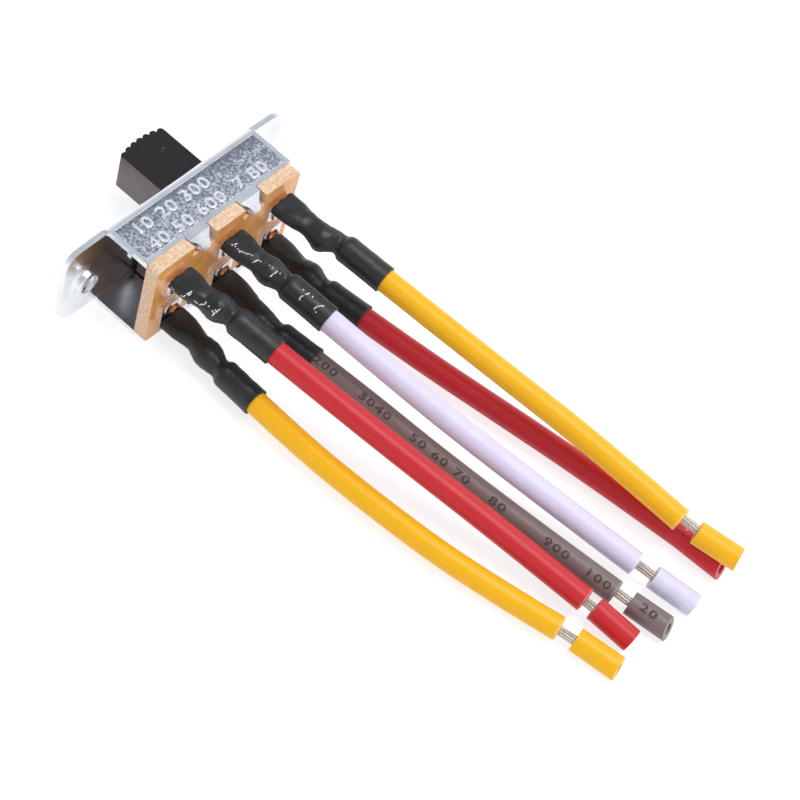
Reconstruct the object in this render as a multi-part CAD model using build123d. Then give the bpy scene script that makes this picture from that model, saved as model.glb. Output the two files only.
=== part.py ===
from build123d import *
import math
import os

# Panel-mounted slide switch for reversing a fan motor, with six sleeved leads.
#
# Millimetres. +X is the direction of the slide, +Y points out through the panel, +Z is up.
# The origin is the middle of the front face of the mounting plate, between the two ear holes.
# The switch lies on the outside of its lower side wall, with its leads running out towards -Y.

# Folded steel bracket: a mounting plate with an ear at each end and two side walls.
sheet = 0.7
body_length = 23.0
body_width = 12.7
wall_depth = 6.6
bend_inner_radius = 0.3
ear_reach = 5.85
ear_step = 0.6
ear_taper = 0.2
ear_corner_radius = 2.2
screw_spacing = 28.4
screw_bore = 2.5
collar_wall = 0.5
collar_height = 0.95
collar_flare = 0.6
collar_fit = 0.03
collar_lead_in = 0.3
collar_lip = 0.2
stamped_border = 0.5
stamped_front_border = 0.15
stamped_depth = 0.06
nib_width = 0.5
nib_reach = 0.35
nib_setback = 2.0

# Tabs that fold over the board, two on each wall.
tab_spacing = 8.06
tab_root_width = 3.25
tab_tip_width = 1.3
tab_shoulder_radius = 0.75
tab_shoulder_depth = 0.6
tab_tip_overhang = 0.25
tab_droop = 0.8
tab_bend_depth = 0.65
notch_depth = 1.6

# Insulating board.
board_thickness = 1.67
notch_clearance = 0.12
board_corner_radius = 0.8

# Slider: a knob on a carriage that runs under the plate.
travel = 5.84
knob_width = 6.68
knob_thickness = 5.07
knob_height = 8.5
knob_crown = 0.45
gate_radius = 0.9
gate_depth = 0.08
gate_reach = 5.4
gate_side = 1.15
grip_count = 7
grip_depth = 0.32
slot_end_gap = 0.1
slot_side_gap = 0.17
slot_corner_radius = 0.4
slide_gap = 0.1
carriage_end_gap = 0.08
carriage_side_gap = 0.25
carriage_roof = 1.0
carriage_skirt_gap = 0.4
carriage_chamfer = 0.3

# Contacts: riveted terminals outside the board, sprung clips inside it.
terminal_pitch = 8.2
lug_row_spacing = 7.38
rivet_row_spacing = 3.92
lug_width = 3.0
flange_width = 3.15
lug_sheet = 0.43
lug_length = 3.35
lug_hole = 1.3
terminal_bend_radius = 0.2
flange_margin = 0.9
rivet_shank = 1.7
rivet_bore = 1.2
rivet_rim = 2.3
rivet_rim_height = 0.22
rivet_floor = 0.5
head_diameter = 3.0
head_thickness = 0.6
contact_gap = 0.05
dimple_height = 0.4
dimple_diameter = 1.6
clip_sheet = 0.35
clip_width = 2.6
clip_overhang = 1.7
clip_lip = 1.2
clip_clearance = 0.1
spring_sheet = 0.2
spring_width = 2.2
spring_span = 8.6
spring_clearance = 0.03

# Leads: a stripped wire soldered to each lug, under a heat-shrink sleeve.
wire_diameter = 2.8
conductor_diameter = 1.2
conductor_clearance = 0.05
sleeve_wall = 0.2
sleeve_start_gap = 0.15
sleeve_grip = 5.9
sleeve_grip_lower = 5.1
sleeve_fit = 0.03
sleeve_straight_share = 0.45
lug_side_slack = 0.16
joint_neck_cover = (0.5, 0.28)
joint_bulge_cover = (0.83, 0.75)
wire_neck_cover = 0.35
solder_gap = 0.1
solder_end_share = 0.85
neck_run = 1.2
arc_share = 0.45
end_arc_share = 0.8
slug_recess = 2.0

# Each lead: name, terminal column, terminal row, gap at the stripped end, how far its soldered
# joint stands off to the side and upwards, the route of the insulation from inside its sleeve to
# its cut end, and the far end of the loose slug. Each point's Y is measured from the rear face of
# the terminals, which carry the leads.
leads = [
    (
        "yellow_upper", 1, 1, 2.2, (-0.55, -0.15),
        [(9.66, -8.75, 2.9), (10.72, -20.0, 1.9), (11.95, -31.5, 0.85),
         (13.4, -44.2, -0.33), (13.93, -56.4, -1.44)],
        (15.3, -64.15, -2.02),
    ),
    (
        "white_upper", 0, 1, 2.4, (-0.1, 0.0),
        [(0.9, -8.1, 2.6), (2.0, -19.4, 1.06), (3.3, -31.0, -0.52),
         (5.25, -43.6, -2.24), (7.32, -55.9, -3.92)],
        (8.8, -63.5, -4.94),
    ),
    (
        "red_upper", -1, 1, 1.4, (-0.1, 0.05),
        [(-7.0, -7.6, 2.62), (-5.55, -19.0, 1.0), (-4.0, -30.5, -0.6),
         (-2.05, -43.0, -2.35), (-0.54, -54.7, -3.99)],
        (0.03, -61.25, -4.93),
    ),
    (
        "red_lower", 1, -1, 0.2, (0.1, 0.1),
        [(8.25, -9.1, -3.86), (9.5, -20.6, -4.1), (11.35, -32.3, -4.32),
         (13.35, -44.9, -4.6), (14.75, -57.2, -4.86)],
        (15.05, -63.35, -4.93),
    ),
    (
        "grey_lower", 0, -1, 1.9, (-0.4, 0.1),
        [(-0.45, -9.7, -3.87), (0.47, -20.1, -4.09), (0.97, -31.8, -4.32),
         (2.0, -44.1, -4.56), (3.33, -56.4, -4.8)],
        (4.27, -63.65, -4.93),
    ),
    (
        "yellow_lower", -1, -1, 2.1, (-0.05, 0.1),
        [(-8.98, -9.1, -3.87), (-9.4, -19.6, -4.08), (-8.85, -31.2, -4.3),
         (-7.45, -43.9, -4.56), (-4.9, -54.8, -4.81)],
        (-3.79, -62.5, -4.93),
    ),
]

# Planes that several pieces share, measured along Y from the front of the plate.
plate_back = -sheet
board_front = -wall_depth
board_back = board_front - board_thickness
terminal_back = board_back - lug_sheet
head_face = board_front + head_thickness
clip_back = head_face + contact_gap + dimple_height
clip_front = clip_back + clip_sheet
carriage_front = plate_back - slide_gap
carriage_back = head_face + carriage_skirt_gap
pocket_floor = carriage_front - carriage_roof

half_length = body_length / 2
half_width = body_width / 2
lug_z = lug_row_spacing / 2
rivet_z = rivet_row_spacing / 2
slide_rest = travel / 2

# The bore of a sleeve over its lug: an ellipse that just clears the lug's corners.
flat_a = lug_width / 2 + lug_side_slack
flat_b = lug_sheet / 2 / math.sqrt(1 - (lug_width / 2 / flat_a) ** 2) + sleeve_fit


def box(x0, x1, y0, y1, z0, z1):
    """A block between two corners."""
    size = (x1 - x0, y1 - y0, z1 - z0)
    middle = ((x0 + x1) / 2, (y0 + y1) / 2, (z0 + z1) / 2)
    return Pos(*middle) * Box(*size)


def bar_along_y(radius, y0, y1, x=0.0, z=0.0):
    """A round bar between two planes of Y."""
    return Pos(x, (y0 + y1) / 2, z) * Rot(90, 0, 0) * Cylinder(radius, abs(y1 - y0))


def prism_along_x(section, width):
    """Extrude a section drawn in (Y, Z) equally to both sides of X = 0."""
    return extrude(Plane.YZ * section, width / 2, both=True)


def prism_along_y(section, y0, y1):
    """Extrude a section drawn in (X, Z) between two planes of Y."""
    plane = Plane(origin=(0, y0, 0), x_dir=(1, 0, 0), z_dir=(0, -1, 0))
    return extrude(plane * section, y0 - y1)


def prism_along_z(section, height):
    """Extrude a section drawn in (X, Y) equally to both sides of Z = 0."""
    return extrude(section, height / 2, both=True)


def mirrored(solid, plane):
    """A solid and its mirror image."""
    return solid + mirror(solid, about=plane)


# ---------------------------------------------------------------- bracket


def channel_section():
    """The folded walls and plate in (Y, Z), open towards the board."""
    bend = bend_inner_radius + sheet
    outer = Pos(-wall_depth / 2, 0) * Rectangle(wall_depth, body_width)
    outer = fillet(outer.vertices().group_by(Axis.X)[-1], bend)
    inner_depth = wall_depth - sheet
    inner = Pos(-sheet - inner_depth / 2, 0) * Rectangle(inner_depth, body_width - 2 * sheet)
    inner = fillet(inner.vertices().group_by(Axis.X)[-1], bend_inner_radius)
    return outer - inner


def ear():
    """The ear on the +X side, with its drawn and threaded collar."""
    root = half_width - ear_step
    tip = root - ear_taper
    reach = half_length + ear_reach
    outline = make_face(
        Polyline((half_length, -root), (reach, -tip), (reach, tip), (half_length, root), close=True)
    )
    outline = fillet(outline.vertices().group_by(Axis.X)[-1], ear_corner_radius)
    collar_radius = screw_bore / 2 + collar_wall
    collar_end = plate_back - collar_height
    profile = make_face(
        Polyline(
            (0, 0), (0, collar_end), (collar_radius, collar_end), (collar_radius, plate_back),
            (collar_radius + collar_flare, plate_back), (collar_radius + collar_flare, 0), close=True,
        )
    )
    corners = profile.vertices().sort_by(Axis.Y)
    end_corner = corners[:2].sort_by(Axis.X)[-1]
    profile = fillet(end_corner, collar_lip)
    root_corner = profile.vertices().sort_by_distance((collar_radius, plate_back, 0))[0]
    profile = fillet(root_corner, min(collar_flare, collar_height - collar_lip) - collar_fit)
    collar = Pos(screw_spacing / 2, 0, 0) * revolve(profile, Axis.Y)
    return prism_along_y(outline, 0, plate_back) + collar


def ear_bore():
    """The bore of an ear's collar, with the rounded mouth that drawing leaves."""
    radius = screw_bore / 2
    end = plate_back - collar_height
    profile = make_face(
        Polyline((0, 0), (radius + collar_lead_in, 0), (radius, -collar_lead_in), (radius, end), (0, end),
                 close=True)
    )
    return Pos(screw_spacing / 2, 0, 0) * revolve(profile, Axis.Y)


def tab():
    """A tab on the upper wall, centred on X = 0, folded down over the board."""
    tip_y = board_back - tab_tip_overhang
    bend_y = board_front - tab_bend_depth
    run = bend_y - tip_y
    slope = math.atan2(tab_droop, run)
    back = sheet * math.tan(slope / 2)
    cut = sheet / math.cos(slope)
    side = make_face(
        Polyline(
            (board_front + sheet, half_width), (bend_y, half_width), (tip_y, half_width - tab_droop),
            (tip_y, half_width - tab_droop - cut),
            (bend_y + back, half_width - sheet), (board_front + sheet, half_width - sheet), close=True,
        )
    )
    root = tab_root_width / 2
    tip = tab_tip_width / 2
    shoulder = board_front - tab_shoulder_depth
    plan = make_face(
        Polyline(
            (-root, board_front + sheet), (-root, shoulder), (-tip, shoulder - (root - tip)), (-tip, tip_y),
            (tip, tip_y), (tip, shoulder - (root - tip)), (root, shoulder), (root, board_front + sheet),
            close=True,
        )
    )
    inner_corners = [v for v in plan.vertices() if abs(abs(v.X) - tip) < 1e-6 and v.Y > tip_y + 1e-6]
    plan = fillet(inner_corners, tab_shoulder_radius)
    return prism_along_x(side, tab_root_width) & prism_along_z(plan, body_width)


def make_bracket():
    shell = prism_along_x(channel_section(), body_length)
    shell += mirrored(ear(), Plane.YZ)
    shell -= mirrored(ear_bore(), Plane.YZ)
    slot_length = knob_width + travel + 2 * slot_end_gap
    slot_width = knob_thickness + 2 * slot_side_gap
    slot = RectangleRounded(slot_length, slot_width, slot_corner_radius)
    shell -= prism_along_y(slot, sheet, plate_back - sheet)
    for x in (-tab_spacing / 2, tab_spacing / 2):
        shell += mirrored(Pos(x, 0, 0) * tab(), Plane.XY)
    field_front = -bend_inner_radius - sheet - stamped_front_border
    shell -= box(
        -half_length + stamped_border, half_length - stamped_border,
        board_front + stamped_border, field_front,
        half_width - stamped_depth, half_width + sheet,
    )
    nib_front = board_front + nib_setback
    shell += box(
        -half_length - nib_reach, -half_length, nib_front, nib_front + nib_width,
        half_width - sheet, half_width - stamped_depth,
    )
    return shell


# ---------------------------------------------------------------- board


def make_board():
    """The board, notched for the tabs and drilled for the rivets."""
    board = box(-half_length, half_length, board_back, board_front, -half_width, half_width)
    board = fillet(board.edges().filter_by(Axis.Y), board_corner_radius)
    notch_half = tab_root_width / 2 + notch_clearance
    notch_floor = half_width - notch_depth
    for x in (-tab_spacing / 2, tab_spacing / 2):
        notch = box(
            x - notch_half, x + notch_half, board_back - sheet, board_front + sheet,
            notch_floor, half_width + sheet,
        )
        board -= mirrored(notch, Plane.XY)
    for column in (-1, 0, 1):
        for row in (-1, 1):
            board -= bar_along_y(
                rivet_shank / 2, board_back - sheet, board_front + sheet,
                column * terminal_pitch, row * rivet_z,
            )
    return board


# ---------------------------------------------------------------- slider


def knob_section():
    """The knob in (X, Y): straight sides and a crowned, serrated end."""
    pitch = knob_width / grip_count
    length = knob_height - knob_crown - grip_depth - carriage_front
    section = Pos(0, carriage_front + length / 2) * Rectangle(knob_width, length)
    middle = (grip_count - 1) / 2
    for i in range(grip_count):
        x = (i - middle) * pitch
        top = knob_height - knob_crown * ((i - middle) / middle) ** 2
        radius = pitch / 2
        stem = top - radius - (carriage_front + length / 2)
        section += Pos(x, top - radius - stem / 2) * Rectangle(pitch, stem)
        section += Pos(x, top - radius) * Circle(radius)
    return section


def trough():
    """The pocket in the carriage that holds one clip and its spring, centred on Z = 0."""
    length = terminal_pitch + 2 * (clip_overhang + clip_clearance)
    width = clip_width + 2 * clip_clearance
    return box(-length / 2, length / 2, carriage_back - sheet, pocket_floor, -width / 2, width / 2)


def make_slider():
    length = body_length - travel - 2 * carriage_end_gap
    width = body_width - 2 * (sheet + carriage_side_gap)
    carriage = box(-length / 2, length / 2, carriage_back, carriage_front, -width / 2, width / 2)
    corners = carriage.edges().filter_by(Axis.Z).group_by(Axis.Y)[-1]
    carriage = chamfer(corners, carriage_chamfer)
    for z in (-rivet_z, rivet_z):
        carriage -= Pos(0, 0, z) * trough()
    knob = prism_along_z(knob_section(), knob_thickness)
    gate_z = knob_thickness / 2 + gate_radius - gate_depth
    knob -= Pos(gate_side, gate_reach, gate_z) * Sphere(gate_radius)
    return Pos(slide_rest, 0, 0) * (carriage + knob)


def make_clip(z):
    """A contact strip with two dimples, whose ends turn up into the carriage."""
    half = terminal_pitch / 2 + clip_overhang
    strip = box(-half, half, clip_back, clip_front, -clip_width / 2, clip_width / 2)
    for side in (-1, 1):
        x0 = half - clip_sheet
        lip = box(x0, half, clip_back, clip_back + clip_lip, -clip_width / 2, clip_width / 2)
        strip += lip if side > 0 else mirror(lip, about=Plane.YZ)
        cap_radius = (dimple_diameter**2 / 4 + dimple_height**2) / (2 * dimple_height)
        ball = Pos(side * terminal_pitch / 2, clip_back - dimple_height + cap_radius, 0) * Sphere(cap_radius)
        below = box(-half * 2, half * 2, clip_back - dimple_height - 1, clip_back, -clip_width, clip_width)
        strip += ball & below
    return Pos(slide_rest, 0, z) * strip


def make_spring(z):
    """A bowed strip between the clip and the floor of its pocket."""
    rise = pocket_floor - clip_front - 2 * spring_clearance
    inner_rise = rise - spring_sheet
    radius = (spring_span**2 / 4 + inner_rise**2) / (2 * inner_rise)
    centre_y = clip_front + spring_clearance + inner_rise - radius
    ring = Pos(0, centre_y) * (Circle(radius + spring_sheet) - Circle(radius))
    floor = clip_front + spring_clearance
    reach = radius + spring_sheet
    keep = Pos(0, floor + reach) * Rectangle(2 * reach, 2 * reach)
    return Pos(slide_rest, 0, z) * prism_along_z(ring & keep, spring_width)


# ---------------------------------------------------------------- terminals


def make_terminal(column, row):
    """An angle with a solder lug along -Y and a flange riveted to the board."""
    inner = terminal_bend_radius
    outer_z = lug_z + lug_sheet / 2
    inner_z = lug_z - lug_sheet / 2
    foot_z = rivet_z - flange_margin
    lug_end = terminal_back - lug_length
    side = make_face(
        Polyline(
            (board_back, foot_z), (board_back, outer_z), (lug_end, outer_z), (lug_end, inner_z),
            (terminal_back, inner_z), (terminal_back, foot_z), close=True,
        )
    )
    outside = side.vertices().sort_by_distance((board_back, outer_z, 0))[0]
    side = fillet(outside, inner + lug_sheet)
    inside = side.vertices().sort_by_distance((terminal_back, inner_z, 0))[0]
    side = fillet(inside, inner)
    angle = prism_along_x(side, flange_width)
    round_end = lug_width / 2
    plan = Pos(0, lug_end + round_end) * Circle(round_end)
    straight = board_back - lug_end - round_end
    plan += Pos(0, board_back - straight / 2) * Rectangle(lug_width, straight)
    plan += Pos(0, board_back - lug_sheet / 2) * Rectangle(flange_width, lug_sheet)
    hole = Pos(0, lug_end + round_end) * Circle(lug_hole / 2)
    angle &= prism_along_z(plan - hole, body_width)
    angle -= bar_along_y(rivet_shank / 2, terminal_back - sheet, board_back + sheet, 0, rivet_z)
    if row < 0:
        angle = mirror(angle, about=Plane.XY)
    return Pos(column * terminal_pitch, 0, 0) * angle


def make_rivet(column, row):
    """A hollow rivet: its head is the fixed contact, its rim is rolled over the terminal."""
    shank = rivet_shank / 2
    bore = rivet_bore / 2
    head = head_diameter / 2
    rim = rivet_rim / 2
    rim_end = terminal_back - rivet_rim_height
    floor = board_front - rivet_floor
    profile = make_face(
        Polyline(
            (0, head_face), (head, head_face), (head, board_front), (shank, board_front),
            (shank, terminal_back), (rim, terminal_back), (rim, terminal_back - rivet_rim_height / 2),
            (bore + rivet_rim_height, rim_end), (bore, rim_end), (bore, floor), (0, floor), close=True,
        )
    )
    edge = profile.vertices().sort_by_distance((head, head_face, 0))[0]
    profile = fillet(edge, head_thickness / 2)
    return Pos(column * terminal_pitch, 0, row * rivet_z) * revolve(profile, Axis.Y)


# ---------------------------------------------------------------- leads


def unit(start, end):
    """The direction from one point to another."""
    return (Vector(*end) - Vector(*start)).normalized()


def arc_radii(points):
    """For each corner, the arc that uses the arc share of its shorter run."""
    radii = []
    for before, corner, after in zip(points, points[1:], points[2:]):
        turn = math.radians(unit(before, corner).get_angle(unit(corner, after)))
        shorter = min((corner - before).length, (after - corner).length)
        radii.append(arc_share * shorter / math.tan(turn / 2))
    return radii


def rod(path, radius):
    """A round rod along a path."""
    start = Plane(origin=path @ 0, z_dir=path % 0)
    return sweep(start * Circle(radius), path=path)


def behind_terminals(x, behind, z):
    """A lead's point, carried along with the terminals."""
    return Vector(x, terminal_back + behind, z)


class Lead:
    """The places along one lead that its pieces share."""

    flat_run = lug_length - lug_width / 2 - sleeve_start_gap

    def __init__(self, name, column, row, gap, bulge, route, tip):
        self.name = name
        self.bulge = bulge
        self.grip = sleeve_grip if row > 0 else sleeve_grip_lower
        self.route = [behind_terminals(*point) for point in route]
        tip = behind_terminals(*tip)
        flat_end = terminal_back - sleeve_start_gap - self.flat_run
        self.start = Vector(column * terminal_pitch, flat_end, row * lug_z)
        self.axis = unit(self.route[0], self.route[1])
        self.neck = self.route[0] - self.axis * neck_run
        last = unit(self.route[-2], self.route[-1])
        self.gap_corner = self.route[-1] + last * (gap / 2)
        self.slug_axis = unit(self.gap_corner, tip)
        self.slug_start = self.gap_corner + self.slug_axis * (gap / 2)
        self.slug_length = (tip - self.slug_start).length
        self.half_gap = gap / 2
        chord = (self.route[0] - self.start).length
        self.swing = Bezier(
            self.start, self.start + Vector(0, -chord * sleeve_straight_share, 0),
            self.route[0] - self.axis * (chord / 3), self.route[0],
        )

    def cross_plane(self, share):
        """The plane across the sleeve at a share of the way to the insulation, level along X."""
        along = self.swing % share
        across = Vector(0, 0, 1).cross(along).normalized()
        return Plane(origin=self.swing @ share, x_dir=across, z_dir=along)

    def body(self, grow):
        """The shaped stretch around the joint: the bore of the sleeve, grown all round."""
        core = conductor_diameter / 2
        neck_a, neck_b = (core + cover for cover in joint_neck_cover)
        bulge_a, bulge_b = (core + cover for cover in joint_bulge_cover)
        narrow = core + wire_neck_cover
        wide = wire_diameter / 2 + sleeve_fit
        sections = [
            (0.00, (0, 0), flat_a, flat_b),
            (0.18, (0, 0), (flat_a + neck_a) / 2 + sleeve_fit, (flat_b + neck_b) / 2 + sleeve_fit),
            (0.36, (0, 0), neck_a, neck_b),
            (0.63, self.bulge, bulge_a, bulge_b),
            (0.89, (0, 0), narrow, narrow),
            (1.00, (0, 0), wide, wide),
        ]
        return loft([
            self.cross_plane(share) * Pos(*off) * Ellipse(a + grow, b + grow)
            for share, off, a, b in sections
        ])

    def flat(self, grow):
        """The straight stretch over the lug: the bore of the sleeve, grown all round."""
        plane = self.cross_plane(0)
        return extrude(plane * Ellipse(flat_a + grow, flat_b + grow), -self.flat_run)

    def cylinder(self, radius, length):
        """A round bar along the first run of the insulation."""
        plane = Plane(origin=self.route[0], z_dir=self.axis)
        return extrude(plane * Circle(radius), length)

    def conductor_points(self):
        """The conductor's route, from the tip of the lug into the slug."""
        lug_left = lug_width / 2 + conductor_clearance
        first = self.swing @ (lug_left / self.swing.length)
        last = self.slug_start + self.slug_axis * (self.slug_length - slug_recess)
        return [first, self.neck] + self.route[1:-1] + [self.gap_corner, last]

    def conductor_path(self):
        points = self.conductor_points()
        neck_turn = math.radians(unit(points[0], self.neck).get_angle(self.axis))
        gap_turn = math.radians(unit(self.route[-2], self.route[-1]).get_angle(self.slug_axis))
        neck_radius = end_arc_share * neck_run / math.tan(neck_turn / 2)
        gap_radius = end_arc_share * self.half_gap / math.tan(gap_turn / 2)
        radii = [neck_radius] + arc_radii(self.route) + [gap_radius]
        return FilletPolyline(*points, radius=radii)


def make_insulation(lead):
    path = FilletPolyline(*lead.route, radius=arc_radii(lead.route))
    tube = rod(path, wire_diameter / 2)
    bore = rod(path, conductor_diameter / 2 + conductor_clearance)
    return tube - bore


def make_conductor(lead):
    return rod(lead.conductor_path(), conductor_diameter / 2)


def make_slug(lead):
    plane = Plane(origin=lead.slug_start, z_dir=lead.slug_axis)
    ring = Circle(wire_diameter / 2) - Circle(conductor_diameter / 2 + conductor_clearance)
    return extrude(plane * ring, lead.slug_length)


def make_sleeve(lead):
    bore = wire_diameter / 2 + sleeve_fit
    outer = lead.body(sleeve_wall) + lead.cylinder(bore + sleeve_wall, lead.grip) + lead.flat(sleeve_wall)
    inner = lead.body(0) + lead.cylinder(bore, lead.grip) + lead.flat(0)
    return outer - inner


def make_solder(lead, terminal, conductor):
    """The solder that joins the lug to the conductor, from the sleeve's flat to its second neck."""
    blob = split(lead.body(-solder_gap), bisect_by=lead.cross_plane(solder_end_share), keep=Keep.BOTTOM)
    return blob - terminal - conductor


# ---------------------------------------------------------------- output


def largest(shape):
    """The main solid of a shape, without the crumbs that a cut can leave."""
    return max(shape.solids(), key=lambda solid: solid.volume)


def build_nodes():
    """Every piece by the name of its node."""
    nodes = {
        "bracket": make_bracket(),
        "terminal_board": make_board(),
        "slider": make_slider(),
        "contact_clip_upper": make_clip(rivet_z),
        "contact_clip_lower": make_clip(-rivet_z),
        "clip_spring_upper": make_spring(rivet_z),
        "clip_spring_lower": make_spring(-rivet_z),
    }
    for name, column, row, gap, bulge, route, tip in leads:
        lead = Lead(name, column, row, gap, bulge, route, tip)
        terminal = make_terminal(column, row)
        conductor = make_conductor(lead)
        nodes["terminal_" + name] = terminal
        nodes["contact_rivet_" + name] = make_rivet(column, row)
        nodes["solder_joint_" + name] = make_solder(lead, terminal, conductor)
        nodes["sleeve_" + name] = make_sleeve(lead)
        nodes["wire_" + name] = make_insulation(lead)
        nodes["conductor_" + name] = conductor
        nodes["end_slug_" + name] = make_slug(lead)
        radii = ", ".join(f"{radius:.0f}" for radius in arc_radii(lead.route))
        print(f"wire_{name}: arc radii {radii} mm")
    return nodes


os.makedirs("parts", exist_ok=True)
for node, shape in build_nodes().items():
    export_step(largest(shape), f"parts/{node}.step")
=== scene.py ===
import math

import bmesh
import bpy
from bpy.props import FloatProperty, IntProperty, PointerProperty, StringProperty
from mathutils import Matrix, Vector, noise


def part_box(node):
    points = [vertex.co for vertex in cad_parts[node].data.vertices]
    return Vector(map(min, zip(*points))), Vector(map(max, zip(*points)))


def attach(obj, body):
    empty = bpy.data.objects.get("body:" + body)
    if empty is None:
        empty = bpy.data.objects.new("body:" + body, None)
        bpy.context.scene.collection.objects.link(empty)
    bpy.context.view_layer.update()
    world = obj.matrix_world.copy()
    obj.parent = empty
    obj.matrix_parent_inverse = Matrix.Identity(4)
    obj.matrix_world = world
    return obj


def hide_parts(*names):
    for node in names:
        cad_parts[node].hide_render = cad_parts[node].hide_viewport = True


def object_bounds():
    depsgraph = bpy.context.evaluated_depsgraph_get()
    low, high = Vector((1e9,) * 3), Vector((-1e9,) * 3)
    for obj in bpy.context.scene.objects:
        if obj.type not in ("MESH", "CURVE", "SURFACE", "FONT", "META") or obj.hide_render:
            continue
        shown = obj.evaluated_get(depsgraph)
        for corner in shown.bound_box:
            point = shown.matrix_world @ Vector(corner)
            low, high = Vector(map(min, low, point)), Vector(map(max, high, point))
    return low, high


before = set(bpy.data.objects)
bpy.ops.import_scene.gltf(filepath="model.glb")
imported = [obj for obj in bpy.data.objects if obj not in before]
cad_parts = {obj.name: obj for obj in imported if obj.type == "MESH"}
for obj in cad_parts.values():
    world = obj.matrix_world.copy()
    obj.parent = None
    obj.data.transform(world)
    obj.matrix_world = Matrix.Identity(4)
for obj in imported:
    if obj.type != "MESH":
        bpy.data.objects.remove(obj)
cad_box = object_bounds()

bl_info = {
    "name": "Slide Switch Dressing",
    "version": (1, 0, 0),
    "blender": (4, 5, 0),
    "location": "View3D > Sidebar > Switch",
    "description": "Dresses a packed slide switch: plated bracket, laminate board, sleeves and leads",
    "category": "Object",
}

MM = 0.001
HOUSING = "housing"
SLIDER = "slider"

# Cleaning a copied mesh: points nearer than WELD are one, faces that turn by less than FLAT are
# one, and edges that turn by more than SHARP are rounded.
WELD = 0.002 * MM
FLAT = math.radians(0.5)
SHARP = math.radians(40)

# Each lead: the insulation's colour, the route of its centre line from inside the sleeve to its
# cut end, the far end of the loose slug, how far the sleeve's bulge stands off to the side, and
# how much of the insulation the sleeve grips.
LEADS = {
    "yellow_upper": (
        "yellow",
        [(9.66, -17.45, 2.9), (10.72, -28.7, 1.9), (11.95, -40.2, 0.85),
         (13.4, -52.9, -0.33), (13.93, -65.1, -1.44)],
        (15.3, -72.85, -2.02),
        (-0.55, -0.15),
        5.9,
    ),
    "white_upper": (
        "white",
        [(0.9, -16.8, 2.6), (2.0, -28.1, 1.06), (3.3, -39.7, -0.52),
         (5.25, -52.3, -2.24), (7.32, -64.6, -3.92)],
        (8.8, -72.2, -4.94),
        (-0.1, 0.0),
        5.9,
    ),
    "red_upper": (
        "red",
        [(-7.0, -16.3, 2.62), (-5.55, -27.7, 1.0), (-4.0, -39.2, -0.6),
         (-2.05, -51.7, -2.35), (-0.54, -63.4, -3.99)],
        (0.03, -69.95, -4.93),
        (-0.1, 0.05),
        5.5,
    ),
    "red_lower": (
        "red",
        [(8.25, -17.8, -3.86), (9.5, -29.3, -4.1), (11.35, -41.0, -4.32),
         (13.35, -53.6, -4.6), (14.75, -65.9, -4.86)],
        (15.05, -72.05, -4.93),
        (0.1, 0.1),
        5.3,
    ),
    "grey_lower": (
        "grey",
        [(-0.45, -18.4, -3.87), (0.47, -28.8, -4.09), (0.97, -40.5, -4.32),
         (2.0, -52.8, -4.56), (3.33, -65.1, -4.8)],
        (4.27, -72.35, -4.93),
        (-0.4, 0.1),
        5.0,
    ),
    "yellow_lower": (
        "yellow",
        [(-8.98, -17.8, -3.87), (-9.4, -28.3, -4.08), (-8.85, -39.9, -4.3),
         (-7.45, -52.6, -4.56), (-4.9, -63.5, -4.81)],
        (-3.79, -71.2, -4.93),
        (-0.05, 0.1),
        5.0,
    ),
}


class LeadSettings(bpy.types.PropertyGroup):
    """Sizes and colours of the leads and their sleeves."""

    diameter: FloatProperty(
        name="Wire diameter", description="Over the insulation", default=2.8 * MM, unit="LENGTH"
    )
    core: FloatProperty(
        name="Conductor diameter", description="Over the bundle of strands", default=1.1 * MM, unit="LENGTH"
    )
    strands: IntProperty(name="Outer strands", description="Strands that show round the bundle", default=9)
    sleeve_wall: FloatProperty(
        name="Sleeve wall", description="Thickness of the shrunk tubing", default=0.2 * MM, unit="LENGTH"
    )
    yellow: StringProperty(name="Yellow", description="Colour of the yellow leads", default="#F7B706")
    white: StringProperty(name="White", description="Colour of the white lead", default="#DFD8F0")
    red: StringProperty(name="Red", description="Colour of the red leads", default="#CB2630")
    grey: StringProperty(name="Grey", description="Colour of the grey lead", default="#7F6E6B")
    sleeve: StringProperty(name="Sleeve", description="Colour of the shrunk tubing", default="#151416")


class HousingSettings(bpy.types.PropertyGroup):
    """Sizes and colours of the bracket, the board and the knob."""

    numeral_height: FloatProperty(
        name="Numeral height", description="Height of the stamped numerals", default=1.6 * MM, unit="LENGTH"
    )
    numeral_relief: FloatProperty(
        name="Numeral relief", description="How far the numerals stand up", default=0.055 * MM, unit="LENGTH"
    )
    grain: FloatProperty(
        name="Grain", description="Pitch of the stamped field's grain", default=0.3 * MM, unit="LENGTH"
    )
    thread_pitch: FloatProperty(
        name="Thread pitch", description="Pitch of the thread in the collars", default=0.5 * MM, unit="LENGTH"
    )
    zinc: StringProperty(name="Zinc", description="Colour of the plated steel", default="#F3F5F7")
    laminate: StringProperty(name="Laminate", description="Colour of the board's face", default="#EFA962")
    moulding: StringProperty(name="Moulding", description="Colour of the knob", default="#161417")


# ---------------------------------------------------------------- materials


def linear(colour):
    """An sRGB hex colour as linear RGBA."""
    parts = [int(colour[i:i + 2], 16) / 255 for i in (1, 3, 5)]
    return [c / 12.92 if c <= 0.04045 else ((c + 0.055) / 1.055) ** 2.4 for c in parts] + [1.0]


def add_node(tree, kind, inputs=None, **settings):
    """Add a shader node. An input's value is a number, a colour or another node's output."""
    made = tree.nodes.new(kind)
    for name, value in settings.items():
        setattr(made, name, value)
    for socket, value in (inputs or {}).items():
        if isinstance(value, bpy.types.NodeSocket):
            tree.links.new(value, made.inputs[socket])
        else:
            made.inputs[socket].default_value = value
    return made


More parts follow.
